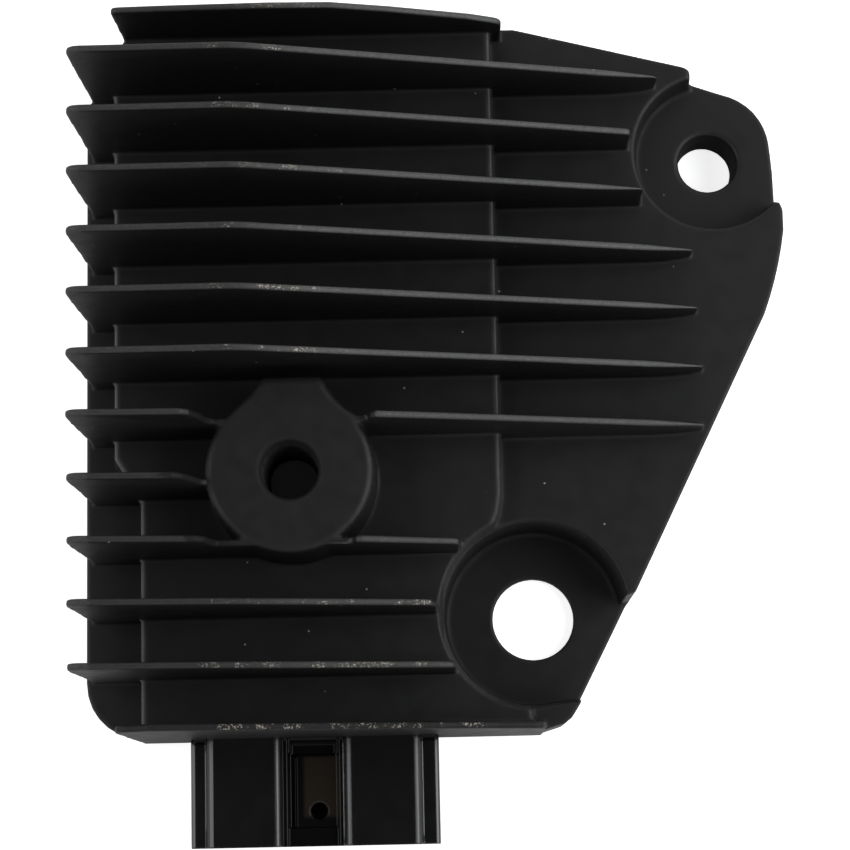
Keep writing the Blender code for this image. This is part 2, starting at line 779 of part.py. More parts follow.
def controlStage():
    # Board between the terminals' legs and the substrate plate, with its pieces under it
    left = cavityLeft + boardSide
    right = cavityStepX - boardEnd
    front = bladeInner + gap
    back = plateFront - boardGap
    board = box("control_board", left, right, front, back, boardLow, boardTop)
    finish(board, "green glass epoxy board", (0.02, 0.16, 0.07), 0.0, 0.4)
    top = boardLow - gap
    y = back - 7.0
    chip = box("control_chip", left + 3.0, left + 12.0, y - 2.8, y + 2.8, top - 1.7, top)
    finish(chip, "black chip case", (0.018, 0.018, 0.02), 0.0, 0.4)
    film = box("film_capacitor", right - 12.0, right - 4.5, y + 0.2, y + 4.2, top - 2.2, top)
    finish(film, "amber film capacitor", (0.45, 0.18, 0.03), 0.0, 0.35)
    for index, letter in enumerate("ab"):
        ring = circle(y - 3.9 - index * 3.2, top - 1.0, 1.0, 12)
        resistor = profileAlongX("resistor_" + letter, ring, right - 11.5, right - 5.0)
        finish(resistor, "blue lacquered resistor " + letter, (0.05, 0.2, 0.35), 0.0, 0.35)


for old in list(bpy.data.objects):
    bpy.data.objects.remove(old, do_unlink=True)

heatsinkBody()
connectorHousing()
terminals()
pottingResin()
powerStage()
controlStage()
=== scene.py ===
import json
import math

import bmesh
import bpy
import numpy as np
from mathutils import Matrix, Vector

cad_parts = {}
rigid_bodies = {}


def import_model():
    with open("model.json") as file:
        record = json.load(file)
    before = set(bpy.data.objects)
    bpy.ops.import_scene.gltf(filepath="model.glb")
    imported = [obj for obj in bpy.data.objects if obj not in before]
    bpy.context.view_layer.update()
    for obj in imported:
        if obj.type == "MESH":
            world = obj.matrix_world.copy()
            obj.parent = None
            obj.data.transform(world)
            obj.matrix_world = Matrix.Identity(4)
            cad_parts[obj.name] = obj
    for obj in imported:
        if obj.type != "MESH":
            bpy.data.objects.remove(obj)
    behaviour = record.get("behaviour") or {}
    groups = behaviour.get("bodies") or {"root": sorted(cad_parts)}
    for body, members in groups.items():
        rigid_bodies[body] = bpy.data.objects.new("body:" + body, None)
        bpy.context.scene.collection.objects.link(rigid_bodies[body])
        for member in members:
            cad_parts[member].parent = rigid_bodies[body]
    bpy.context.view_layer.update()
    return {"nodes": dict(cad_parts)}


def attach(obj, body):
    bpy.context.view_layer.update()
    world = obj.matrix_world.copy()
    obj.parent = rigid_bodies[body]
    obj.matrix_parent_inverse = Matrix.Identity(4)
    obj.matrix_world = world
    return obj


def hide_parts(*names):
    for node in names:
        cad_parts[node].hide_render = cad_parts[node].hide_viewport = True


for leftover in list(bpy.data.objects):
    bpy.data.objects.remove(leftover)

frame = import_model()
nodes = frame["nodes"]
mm = 0.001
weldMm = 0.001  # points of a mesh that are nearer than this are one point
print("frame loaded,", len(nodes), "nodes")


def toLinear(hexColour):
    # sRGB hex to the linear colour that a shader takes
    out = []
    for place in (1, 3, 5):
        c = int(hexColour[place:place + 2], 16) / 255
        out.append(c / 12.92 if c <= 0.04045 else ((c + 0.055) / 1.055) ** 2.4)
    return (out[0], out[1], out[2], 1.0)


def addNode(tree, kind, links=None, values=None, **settings):
    # One node with its settings, its links, and its fixed values, where a hex colour is made linear
    node = tree.nodes.new(kind)
    for name, value in settings.items():
        setattr(node, name, value)
    for socket, value in (values or {}).items():
        node.inputs[socket].default_value = toLinear(value) if isinstance(value, str) else value
    for socket, source in (links or {}).items():
        tree.links.new(source, node.inputs[socket])
    return node


def startMaterial(name):
    # An empty tree with its shader, and a place on the surface counted in millimetres
    material = bpy.data.materials.new(name)
    material.use_nodes = True
    tree = material.node_tree
    tree.nodes.clear()
    shader = addNode(tree, "ShaderNodeBsdfPrincipled")
    addNode(tree, "ShaderNodeOutputMaterial", {"Surface": shader.outputs["BSDF"]})
    place = {0: addNode(tree, "ShaderNodeTexCoord").outputs["Object"]}
    scaled = addNode(tree, "ShaderNodeVectorMath", place, {"Scale": 1 / mm}, operation="SCALE")
    return material, tree, shader, scaled.outputs[0]


# Die cast aluminium, sprayed and baked black. It looks nearly black and half gloss, with the
# fine grain of the casting in it, rubbed thin on the fin tips and chipped off them in flecks.
# Its colour also carries painted highlight on tips, walls and edges, and painted shade in hollows
castingPaint = {
    "deep": "#131313",
    "light": "#181817",
    "cloudMm": 9.0,
    "noiseDetail": 2.0,
    "noiseRoughness": 0.55,
    # painted highlight on edges and on the front of the boss's rim
    "edge_highlight": "#272726",
    # painted shade in hollows, hole mouths, at the boss's foot and on top of the front wall
    "hollow": "#050505",
    # drilled metal, lightened as painted light for the light from above
    "drilled_and_lit": "#b8b7b4",
    # rubbed paint on the fin tips, with painted highlight on them, on the lit walls and on the fin
    # ends
    "rubbed_and_lit": "#626261",
    "thinByGrain": (0.9, 0.2),
    "bareMetal": "#8b857d",
    "fleckMm": 0.24,
    "fleckNoise": (0.44, 0.66),
    "fleckPatchMm": 2.4,
    "fleckPatchNoise": (0.45, 0.6),
    "fleckEdge": (0.25, 0.8),
    "dust": "#989896",
    "dustCellMm": 2.4,
    "dustMm": 0.15,
    "dustShare": 0.3,
    "dustCore": 0.5,
    "roughness": (0.45, 0.53),
    "roughnessNoise": (0.35, 0.65),
    "peelMm": 2.2,
    "hollowRougher": 0.3,
    "specular": 0.24,
    "grainMm": 0.3,
    "grainDepthMm": 0.012,
    "grainStrength": 0.25,
}


def blackPaintedCasting(look):
    material, tree, shader, place = startMaterial("black baked paint on die cast aluminium")
    grown = {}
    for name in ("rubbed_and_lit", "knocked", "edge_highlight", "hollow", "drilled_and_lit"):
        grown[name] = addNode(tree, "ShaderNodeAttribute", attribute_name=name).outputs["Fac"]
    noises = {}
    for name in ("cloudMm", "grainMm", "peelMm", "fleckMm", "fleckPatchMm"):
        values = {
            "Scale": 1 / look[name],
            "Detail": look["noiseDetail"],
            "Roughness": look["noiseRoughness"],
        }
        noise = addNode(tree, "ShaderNodeTexNoise", {"Vector": place}, values)
        noises[name] = noise.outputs["Fac"]

    # Clouded paint, with painted highlight on edges, painted shade in hollows, and the drilled metal
    # at the bottom of the boss's hole lightened as painted light
    pair = {6: look["deep"], 7: look["light"]}
    clouds = addNode(tree, "ShaderNodeMix", {"Factor": noises["cloudMm"]}, pair, data_type="RGBA")
    colour = clouds.outputs[2]
    for name in ("edge_highlight", "hollow", "drilled_and_lit"):
        links = {"Factor": grown[name], 6: colour}
        colour = addNode(tree, "ShaderNodeMix", links, {7: look[name]}, data_type="RGBA").outputs[2]

    # Paint rubbed thin where its grain shows, made lighter still as painted highlight on the tip
    # slopes, walls and fin ends
    slope, base = look["thinByGrain"]
    links, values = {0: noises["grainMm"]}, {1: slope, 2: base}
    thin = addNode(tree, "ShaderNodeMath", links, values, operation="MULTIPLY_ADD").outputs[0]
    links = {0: thin, 1: grown["rubbed_and_lit"]}
    thinnedAndLit = addNode(tree, "ShaderNodeMath", links, operation="MULTIPLY").outputs[0]
    links, values = {"Factor": thinnedAndLit, 6: colour}, {7: look["rubbed_and_lit"]}
    colour = addNode(tree, "ShaderNodeMix", links, values, data_type="RGBA").outputs[2]

    # Bare flecks in short runs, where the tips have been knocked
    low, high = look["fleckNoise"]
    links, values = {"Value": noises["fleckMm"]}, {1: low, 2: high}
    spots = addNode(tree, "ShaderNodeMapRange", links, values).outputs[0]
    low, high = look["fleckPatchNoise"]
    links, values = {"Value": noises["fleckPatchMm"]}, {1: low, 2: high}
    patches = addNode(tree, "ShaderNodeMapRange", links, values).outputs[0]
    chip = spots
    for share in (patches, grown["knocked"]):
        chip = addNode(tree, "ShaderNodeMath", {0: chip, 1: share}, operation="MULTIPLY").outputs[0]
    low, high = look["fleckEdge"]
    bare = addNode(tree, "ShaderNodeMapRange", {"Value": chip}, {1: low, 2: high}).outputs[0]
    links, values = {"Factor": bare, 6: colour}, {7: look["bareMetal"]}
    colour = addNode(tree, "ShaderNodeMix", links, values, data_type="RGBA").outputs[2]

    # Specks of dust that lie here and there
    values = {"Scale": 1 / look["dustCellMm"], "Randomness": 1.0}
    cells = addNode(tree, "ShaderNodeTexVoronoi", {"Vector": place}, values)
    reach = look["dustMm"] / look["dustCellMm"]
    links, values = {"Value": cells.outputs["Distance"]}, {1: reach, 2: reach * look["dustCore"]}
    speck = addNode(tree, "ShaderNodeMapRange", links, values).outputs[0]
    draw = addNode(tree, "ShaderNodeSeparateColor", {0: cells.outputs["Color"]}).outputs[0]
    kept = addNode(tree, "ShaderNodeMath", {0: draw}, {1: look["dustShare"]}, operation="LESS_THAN")
    links = {0: speck, 1: kept.outputs[0]}
    speck = addNode(tree, "ShaderNodeMath", links, operation="MULTIPLY").outputs[0]
    links, values = {"Factor": speck, 6: colour}, {7: look["dust"]}
    colour = addNode(tree, "ShaderNodeMix", links, values, data_type="RGBA").outputs[2]

    # Half gloss that wanders like orange peel and is duller in the hollows, where shade is painted
    low, high = look["roughnessNoise"]
    least, most = look["roughness"]
    links, values = {"Value": noises["peelMm"]}, {1: low, 2: high, 3: least, 4: most}
    rough = addNode(tree, "ShaderNodeMapRange", links, values).outputs[0]
    links, values = {0: grown["hollow"], 2: rough}, {1: look["hollowRougher"]}
    rough = addNode(tree, "ShaderNodeMath", links, values, operation="MULTIPLY_ADD").outputs[0]
    values = {"Strength": look["grainStrength"], "Distance": look["grainDepthMm"] * mm}
    bump = addNode(tree, "ShaderNodeBump", {"Height": noises["grainMm"]}, values)
    tree.links.new(colour, shader.inputs["Base Color"])
    tree.links.new(bare, shader.inputs["Metallic"])
    tree.links.new(rough, shader.inputs["Roughness"])
    tree.links.new(bump.outputs[0], shader.inputs["Normal"])
    shader.inputs["Specular IOR Level"].default_value = look["specular"]
    return material


# Glass filled nylon, moulded black. It looks darker and glossier than the paint, with bright
# streaks on its round shoulders. Its plate and its slot are left, right, front, back, bottom
# and top, in millimetres
connectorNylon = {
    "deep": "#0a0a0b",
    "light": "#0d0d0e",
    "mottleMm": 2.5,
    "mottleDetail": 3.0,
    "stain": "#25201b",
    "plate": (-17.3, -12.2, -47.0, -39.8, 6.5, 8.35),
    "plateSoftMm": 0.25,
    # painted shade in the slot
    "shade": "#020202",
    "slot": (-19.1, -18.25, -48.2, -39.4, 6.5, 7.9),
    "slotSoftMm": 0.06,
    "roughness": (0.235, 0.255),
    "roughnessNoise": (0.35, 0.65),
    "specular": 0.6,
    "channelSpecular": 0.1,
    "fibreMm": 0.14,  # real glass fibre is about 0.01 mm, and is drawn coarser so that it shows
    "fibreDetail": 1.0,
    "fibreDepthMm": 0.01,
    "fibreStrength": 0.2,
}


def insideBox(tree, place, sides, soft):
    # 1 inside the box and 0 outside it, with soft sides
    axes = addNode(tree, "ShaderNodeSeparateXYZ", {0: place})
    inside = None
    for axis in range(3):
        low, high = sides[2 * axis], sides[2 * axis + 1]
        for start, end in ((low - soft, low + soft), (high + soft, high - soft)):
            links, values = {"Value": axes.outputs[axis]}, {1: start, 2: end}
            mask = addNode(tree, "ShaderNodeMapRange", links, values).outputs[0]
            if inside is not None:
                links = {0: inside, 1: mask}
                mask = addNode(tree, "ShaderNodeMath", links, operation="MULTIPLY").outputs[0]
            inside = mask
    return inside


def blackMouldedNylon(look, name, specular):
    material, tree, shader, place = startMaterial(name)
    values = {"Scale": 1 / look["mottleMm"], "Detail": look["mottleDetail"]}
    mottle = addNode(tree, "ShaderNodeTexNoise", {"Vector": place}, values).outputs["Fac"]
    values = {"Scale": 1 / look["fibreMm"], "Detail": look["fibreDetail"]}
    fibre = addNode(tree, "ShaderNodeTexNoise", {"Vector": place}, values).outputs["Fac"]
    pair = {6: look["deep"], 7: look["light"]}
    mottled = addNode(tree, "ShaderNodeMix", {"Factor": mottle}, pair, data_type="RGBA")
    colour = mottled.outputs[2]

    # The flat plate in the latch channel has a brown tinge, and the slot beside it is darkened as
    # painted shade
    for area, tone in (("plate", "stain"), ("slot", "shade")):
        inside = insideBox(tree, place, look[area], look[area + "SoftMm"])
        links, values = {"Factor": inside, 6: colour}, {7: look[tone]}
        colour = addNode(tree, "ShaderNodeMix", links, values, data_type="RGBA").outputs[2]

    low, high = look["roughnessNoise"]
    least, most = look["roughness"]
    values = {1: low, 2: high, 3: least, 4: most}
    rough = addNode(tree, "ShaderNodeMapRange", {"Value": mottle}, values)
    values = {"Strength": look["fibreStrength"], "Distance": look["fibreDepthMm"] * mm}
    bump = addNode(tree, "ShaderNodeBump", {"Height": fibre}, values)
    tree.links.new(colour, shader.inputs["Base Color"])
    tree.links.new(rough.outputs[0], shader.inputs["Roughness"])
    tree.links.new(bump.outputs[0], shader.inputs["Normal"])
    shader.inputs["Specular IOR Level"].default_value = specular
    return material


# Each small finish: its two colours, patch size, two roughnesses, metallic, grain size and depth
smallFinishes = {
    # Poured and set in the open: dark and glossy, with a slow wave
    "black poured epoxy resin": ("#0d0c0c", "#161514", 5.0, (0.25, 0.42), 0.0, 2.6, 0.05),
    # Stamped and tinned: pale and bright, with a fine grain
    "tinned brass blade": ("#b9b5a8", "#cdcabf", 1.2, (0.24, 0.38), 1.0, 0.2, 0.006),
    # Rolled and anodised: a plain, satin grey
    "anodised aluminium plate": ("#8d9093", "#a2a5a8", 3.0, (0.35, 0.5), 1.0, 0.3, 0.01),
    # Moulded with a matt tool: dull and nearly black
    "moulded epoxy chip case": ("#141415", "#1d1d1f", 1.0, (0.42, 0.55), 0.0, 0.15, 0.01),
    # Rolled and cut: warm and bright, a little tarnished in patches
    "rolled copper bar": ("#b5663f", "#c9805a", 1.8, (0.25, 0.4), 1.0, 0.25, 0.008),
    # Pressed with glass cloth and lacquered: green and half gloss, in faint patches
    "green lacquered glass epoxy": ("#0f5a33", "#17703f", 0.9, (0.3, 0.4), 0.0, 0.3, 0.01),
    # Dipped in resin: amber and glossy, with a lumpy skin
    "amber dipped film capacitor": ("#a8601c", "#bd7428", 1.5, (0.22, 0.34), 0.0, 0.8, 0.03),
    # Sprayed with lacquer: blue and smooth
    "blue lacquered resistor": ("#2c6286", "#3a7699", 1.0, (0.25, 0.38), 0.0, 0.6, 0.02),
}
smallPattern = {
    "patchDetail": 3.0,
    "patchNoise": (0.35, 0.65),
    "grainDetail": 2.0,
    "grainStrength": 0.4,
}


def smallFinish(name, look):
    deep, light, patchMm, roughness, metallic, grainMm, depthMm = smallFinishes[name]
    material, tree, shader, place = startMaterial(name)
    values = {"Scale": 1 / patchMm, "Detail": look["patchDetail"]}
    patch = addNode(tree, "ShaderNodeTexNoise", {"Vector": place}, values).outputs["Fac"]
    low, high = look["patchNoise"]
    patch = addNode(tree, "ShaderNodeMapRange", {"Value": patch}, {1: low, 2: high}).outputs[0]
    values = {"Scale": 1 / grainMm, "Detail": look["grainDetail"]}
    grain = addNode(tree, "ShaderNodeTexNoise", {"Vector": place}, values).outputs["Fac"]
    pair = {6: deep, 7: light}
    colour = addNode(tree, "ShaderNodeMix", {"Factor": patch}, pair, data_type="RGBA")
    values = {3: roughness[0], 4: roughness[1]}
    rough = addNode(tree, "ShaderNodeMapRange", {"Value": patch}, values)
    values = {"Strength": look["grainStrength"], "Distance": depthMm * mm}
    bump = addNode(tree, "ShaderNodeBump", {"Height": grain}, values)
    tree.links.new(colour.outputs[2], shader.inputs["Base Color"])
    tree.links.new(rough.outputs[0], shader.inputs["Roughness"])
    tree.links.new(bump.outputs[0], shader.inputs["Normal"])
    shader.inputs["Metallic"].default_value = metallic
    return material


def softCopy(nodeName, pieceName, look):
    # A copy of the node's mesh with every edge and inner corner rounded, as a mould leaves it
    mesh = nodes[nodeName].data.copy()
    work = bmesh.new()
    work.from_mesh(mesh)
    bmesh.ops.remove_doubles(work, verts=work.verts, dist=weldMm * mm)
    work.to_mesh(mesh)
    work.free()
    piece = bpy.data.objects.new(pieceName, mesh)
    bpy.context.scene.collection.objects.link(piece)
    coarser = 1.0
    remesh = piece.modifiers.new("remesh", "REMESH")
    remesh.mode = "VOXEL"
    remesh.voxel_size = look["voxelMm"] * coarser * mm
    smooth = piece.modifiers.new("smooth", "SMOOTH")
    smooth.factor = look["smoothFactor"]
    smooth.iterations = look["smoothTimes"]
    applyModifiers(piece)
    full = 2 * len(piece.data.polygons)  # the remesh is all quads, of two triangles each
    if full > look["triangles"]:
        piece.modifiers.new("decimate", "DECIMATE").ratio = look["triangles"] / full
        applyModifiers(piece)
    piece.data.shade_smooth()
    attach(piece, "root")
    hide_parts(nodeName)
    print(pieceName, "has", len(piece.data.vertices), "points")
    return piece


def applyModifiers(piece):
    ready = piece.evaluated_get(bpy.context.evaluated_depsgraph_get())
    old = piece.data
    mesh = bpy.data.meshes.new_from_object(ready)
    piece.modifiers.clear()
    piece.data = mesh
    bpy.data.meshes.remove(old)


def meshArrays(mesh):
    # Places in millimetres and normals of the points, and the two points of each edge
    count = len(mesh.vertices)
    place = np.empty(count * 3)
    mesh.vertices.foreach_get("co", place)
    normal = np.empty(count * 3)
    mesh.vertices.foreach_get("normal", normal)
    ends = np.empty(len(mesh.edges) * 2, dtype=np.int32)
    mesh.edges.foreach_get("vertices", ends)
    return place.reshape(-1, 3) / mm, normal.reshape(-1, 3), ends.reshape(-1, 2)


def neighbourMean(values, ends):
    a, b = ends[:, 0], ends[:, 1]
    count = len(values)
    total = np.bincount(a, values[b], count) + np.bincount(b, values[a], count)
    number = np.bincount(a, minlength=count) + np.bincount(b, minlength=count)
    return total / np.maximum(number, 1)


outwardGain = 5.0  # brings a sharp outside edge to about 1
leastEdgeMm = 1e-6


def outwardness(place, normal, ends):
    # How far each point stands out from its neighbours, and below 0 in a hollow
    middle = np.stack([neighbourMean(place[:, axis], ends) for axis in range(3)], axis=1)
    reach = np.linalg.norm(place[ends[:, 0]] - place[ends[:, 1]], axis=1)
    a, b = ends[:, 0], ends[:, 1]
    count = len(place)
    length = np.bincount(a, reach, count) + np.bincount(b, reach, count)
    number = np.bincount(a, minlength=count) + np.bincount(b, minlength=count)
    spacing = np.maximum(length / np.maximum(number, 1), leastEdgeMm)
    out = np.einsum("ij,ij->i", place - middle, normal) / spacing
    return neighbourMean(neighbourMean(out, ends), ends) * outwardGain


def store(mesh, name, values):
    field = mesh.attributes.new(name, "FLOAT", "POINT")
    field.data.foreach_set("value", values.astype(np.float32))


# The casting's mesh, its levels and its walls, and the fins that stop short on the flange
castingShape = {
    "voxelMm": 0.17,
    "quickCoarser": 2.0,
    "smoothFactor": 0.5,
    "smoothTimes": 9,
    "triangles": 185000,
    "plateauTop": 14.6,
    "flangeTop": 11.2,
    "flangeLeft": 7.0,
    "bandTop": 9.9,
    "bodyLeft": -40.5,
    "wallLeft": -34.0,
    "wallRight": 5.0,
    "frontWall": -33.0,
    "frontFins": -20.0,
    "upperHole": (34.65, 33.7, 4.6),
    "bossMiddle": (-17.75, -6.9),
    "bossTop": 22.5,
    "bossRim": 10.4,
    "bossHole": 3.6,
    "freeFinFrom": 18.0,
    "freeFinReach": 25.0,
    "freeFinAbove": 1.2,
    "freeFinApart": 0.8,
    "freeFinMargin": 0.6,
    "freeFinPoints": 100,
    "taperLong": 7.5,
    "taperTo": 0.3,
    "taperBend": 1.5,
    "taperFoot": 0.5,
    "taperRise": 1.5,
}

# Where the casting's paint is worn, and where highlight and shade are painted into its colour to
# make it lighter or darker. A run is a row of places, and the row of levels below it says how strong
# the mark is there
castingWear = {
    "tipFacing": (0.4, 0.35),
    "bossBack": 4.0,
    "bossReach": (14.5, 10.8),
    "bossSlopeBelow": (29.5, 25.5),
    "bossNeck": (7.5, 9.0),
    "kneeRun": (-30.0, -24.0, -17.0, -9.0),
    "kneeKnocked": (0.1, 1.0, 1.0, 0.35),
    "frontRun": (-34.0, -26.0, 2.0, 12.0),
    "frontKnocked": (0.0, 1.0, 1.0, 0.4),
    "slopeRun": (-24.0, -15.0),
    "slopeRubbedAndLit": (0.4, 1.0),
    "backRun": (-34.0, -33.0, -8.0, 5.0),
    "backRubbedAndLit": (0.0, 0.5, 0.55, 1.0),
    "wallBelowTop": 0.5,
    "wallFacing": (2.5, 0.8),
    "wallRightNear": 5.0,
    # painted highlight on the plateau's walls and on the fins' left ends
    "leftWallLit": 1.6,
    "rightWallLit": 0.2,
    "finEndGain": 4.0,
    "finEndLit": 0.5,
    "drilledFacing": 0.7,
    "drilledWallLit": 0.05,
    "rimWide": 2.0,
    "rimFacing": 0.4,
    "rimEdge": 0.6,
    "plainEdge": 0.3,
    "hollowGain": 2.5,
    "holeFacing": 0.5,
    "mouthWide": 1.2,
    "mouthDeep": 1.0,
    "mouthFacing": 0.97,
    "mouthDark": 0.8,
    "bossFootAbove": 1.0,
    "bossFootDark": 0.6,
    "frontFacing": 0.5,
    "frontDark": 0.4,
}


def taperFreeFins(casting, shape):
    # The fins that stop short on the flange thin out to a point
    place = meshArrays(casting.data)[0]
    high = shape["flangeTop"] + shape["freeFinAbove"]
    long = shape["taperLong"]
    chosen = np.nonzero((place[:, 0] > shape["freeFinFrom"]) & (place[:, 2] > high))[0]
    chosen = chosen[np.argsort(place[chosen, 1])]
    breaks = np.nonzero(np.diff(place[chosen, 1]) > shape["freeFinApart"])[0] + 1
    for fin in np.split(chosen, breaks):
        end = place[fin, 0].max()
        if end < shape["freeFinReach"] or len(fin) < shape["freeFinPoints"]:
            continue
        front = place[fin, 1].min() - shape["freeFinMargin"]
        back = place[fin, 1].max() + shape["freeFinMargin"]
        near = (place[:, 0] > end - long) & (place[:, 1] > front) & (place[:, 1] < back)
        near = np.nonzero(near & (place[:, 2] > shape["flangeTop"] - shape["taperFoot"]))[0]
        middle = np.median(place[fin[place[fin, 0] > end - long], 1])
        along = np.clip((place[near, 0] - end + long) / long, 0, 1)
        rise = (place[near, 2] - shape["flangeTop"] + shape["taperFoot"]) / shape["taperRise"]
        rise = np.clip(rise, 0, 1)
        shrink = 1 - (1 - shape["taperTo"]) * along ** shape["taperBend"] * rise
        place[near, 1] = middle + (place[near, 1] - middle) * shrink
        print("fin tapered at y", round(float(middle), 1), "up to x", round(float(end), 1))
    casting.data.vertices.foreach_set("co", (place * mm).ravel())
    casting.data.update()


def besideBoss(x, y, z, fromBoss, shape, wear):
    # On the left of the boss and on its right the fins dip down to it, and there the tips get no
    # flecks and no painted highlight
    bossX, bossY = shape["bossMiddle"]
    side = (y < wear["bossBack"]) * (fromBoss < np.where(x < bossX, *wear["bossReach"]))
    side = side * (z < np.where(x < bossX, *wear["bossSlopeBelow"]))
    half, back = wear["bossNeck"]
    neck = (np.abs(x - bossX) < half) * (y > bossY) * (y < back) * (z < wear["bossSlopeBelow"][1])
    return np.maximum(side, neck)


def makeCasting(shape, wear):
    casting = softCopy("heatsink_body", "painted_casting", shape)
    taperFreeFins(casting, shape)
    place, normal, ends = meshArrays(casting.data)
    bulge = outwardness(place, normal, ends)
    edge_highlight = np.clip(bulge, 0, 1)
    x, y, z = place[:, 0], place[:, 1], place[:, 2]
    fromBoss = np.hypot(x - shape["bossMiddle"][0], y - shape["bossMiddle"][1])
    bossSide = besideBoss(x, y, z, fromBoss, shape, wear)

    # Fin tips look up from well above the floor beside them, the boss face aside
    least = np.where(x > shape["flangeLeft"], shape["flangeTop"], shape["plateauTop"])
    least = np.where(y < shape["frontWall"], shape["plateauTop"], least)
    limit, soft = wear["tipFacing"]
    tip = np.clip((normal[:, 2] - limit) / soft, 0, 1) * (z > least)
    tip = tip * (1 - bossSide)
    knee = np.interp(x, wear["kneeRun"], wear["kneeKnocked"])
    front = np.interp(x, wear["frontRun"], wear["frontKnocked"]) * (y < shape["frontFins"])
    store(casting.data, "knocked", tip * np.maximum(knee, front))

    # The tips are rubbed, with painted highlight that grows on their slope, and the plateau's walls
    # and the fins' left ends get painted highlight
    slope = np.interp(x, wear["slopeRun"], wear["slopeRubbedAndLit"])
    slope = slope * np.interp(y, wear["backRun"], wear["backRubbedAndLit"])
    wall = (z > shape["bandTop"]) * (z < shape["plateauTop"] - wear["wallBelowTop"])
    gain, start = wear["wallFacing"]
    left = wall * (x < shape["wallLeft"]) * (x > shape["bodyLeft"])
    left = left * np.clip(-normal[:, 0] * gain - start, 0, 1)
    right = wall * (np.abs(x - shape["wallRight"]) < wear["wallRightNear"])
    right = right * np.clip(normal[:, 0] * gain - start, 0, 1)
    wideEdge = neighbourMean(neighbourMean(edge_highlight, ends), ends)
    finEnd = (x < shape["bodyLeft"]) * (z > shape["bandTop"])
    finEnd = finEnd * np.clip(wideEdge * wear["finEndGain"], 0, 1)
    rubbed_and_lit = np.maximum(tip * slope, left * wear["leftWallLit"])
    rubbed_and_lit = np.maximum(rubbed_and_lit, right * wear["rightWallLit"])
    rubbed_and_lit = np.maximum(rubbed_and_lit, finEnd * wear["finEndLit"])
    store(casting.data, "rubbed_and_lit", rubbed_and_lit)

    # The bottom of the boss's hole is drilled metal, lightened further as painted light from above,
    # and its wall gets a faint share of it
    drilled_and_lit = np.where(normal[:, 2] > wear["drilledFacing"], 1.0, wear["drilledWallLit"])
    store(casting.data, "drilled_and_lit", (fromBoss < shape["bossHole"]) * (z < shape["bossTop"]) * drilled_and_lit)

    # Painted highlight on the edges, stronger on the front of the boss's rim
    top = (fromBoss > shape["bossHole"] + wear["rimWide"]) * (fromBoss < shape["bossRim"])
    rim = top * (z > shape["bossTop"]) * np.clip(wear["rimFacing"] - normal[:, 1], 0, 1)
    lit = edge_highlight * np.where(bossSide, rim * wear["rimEdge"], wear["plainEdge"])
    store(casting.data, "edge_highlight", lit * (y > shape["frontWall"]))

    # Painted shade in inner corners, on the wall of the upper hole, in the mouth of the boss's hole,
    # at the foot of the boss and on top of the front wall
    hollow = neighbourMean(neighbourMean(np.clip(-bulge, 0, 1), ends), ends) * wear["hollowGain"]
    holeX, holeY, holeReach = shape["upperHole"]
    inside = (np.hypot(x - holeX, y - holeY) < holeReach) * (normal[:, 2] < wear["holeFacing"])
    mouth = fromBoss < shape["bossHole"] + wear["mouthWide"]
    mouth = mouth * (z > shape["bossTop"] - wear["mouthDeep"])
    inside = inside + mouth * (normal[:, 2] < wear["mouthFacing"]) * wear["mouthDark"]
    foot = bossSide * (fromBoss > shape["bossRim"])
    foot = foot * (z > shape["plateauTop"] + wear["bossFootAbove"])
    ahead = (y < shape["frontWall"]) * (z > shape["plateauTop"])
    ahead = ahead * (normal[:, 2] > wear["frontFacing"])
    shaded = foot * wear["bossFootDark"] + ahead * wear["frontDark"]
    hollow = np.maximum(hollow, np.maximum(inside, shaded))
    store(casting.data, "hollow", np.clip(hollow, 0, 1))
    casting.data.materials.clear()
    casting.data.materials.append(blackPaintedCasting(castingPaint))
    return casting


makeCasting(castingShape, castingWear)
print("casting painted")

# The connector shell's mesh, its back face, its latch channel and its two raised panels
connectorShape = {
    "voxelMm": 0.1,
    "quickCoarser": 2.0,
    "smoothFactor": 0.5,
    "smoothTimes": 5,
    "triangles": 90000,
    "backFace": -37.6,
    "backFaceNear": 0.2,
    "closeBy": 0.26,
    "channelFrom": -19.9,
    "channelTo": -12.6,
    "rootFrom": -38.2,
    "panelsFrom": -28.9,
    "panelsTo": -3.0,
    "cornerFrom": 0.12,
}


def makeConnector(shape, look):
    connector = softCopy("connector_housing", "moulded_connector", shape)
    # The shell's back face moves up to the casting, so no light shows between them
    for point in connector.data.vertices:
        if abs(point.co.y / mm - shape["backFace"]) < shape["backFaceNear"]:
            point.co.y += shape["closeBy"] * mm
    shell = blackMouldedNylon(look, "black moulded glass filled nylon", look["specular"])
    name = "unpolished nylon of the latch channel"
    channel = blackMouldedNylon(look, name, look["channelSpecular"])
    connector.data.materials.clear()
    connector.data.materials.append(shell)
    connector.data.materials.append(channel)
    # The unpolished kind is in the channel, in the inner corners and beside the panels at their root
    place, normal, ends = meshArrays(connector.data)
    inward = np.clip(-outwardness(place, normal, ends), 0, 1)
    corner = neighbourMean(inward, ends) > shape["cornerFrom"]
    for face in connector.data.polygons:
        middle = face.center / mm
        inChannel = shape["channelFrom"] < middle.x < shape["channelTo"]
        besidePanels = not shape["panelsFrom"] < middle.x < shape["panelsTo"]
        atRoot = besidePanels and middle.y > shape["rootFrom"]
        if inChannel or atRoot or corner[list(face.vertices)].all():
            face.material_index = 1
    return connector


makeConnector(connectorShape, connectorNylon)
print("connector moulded")

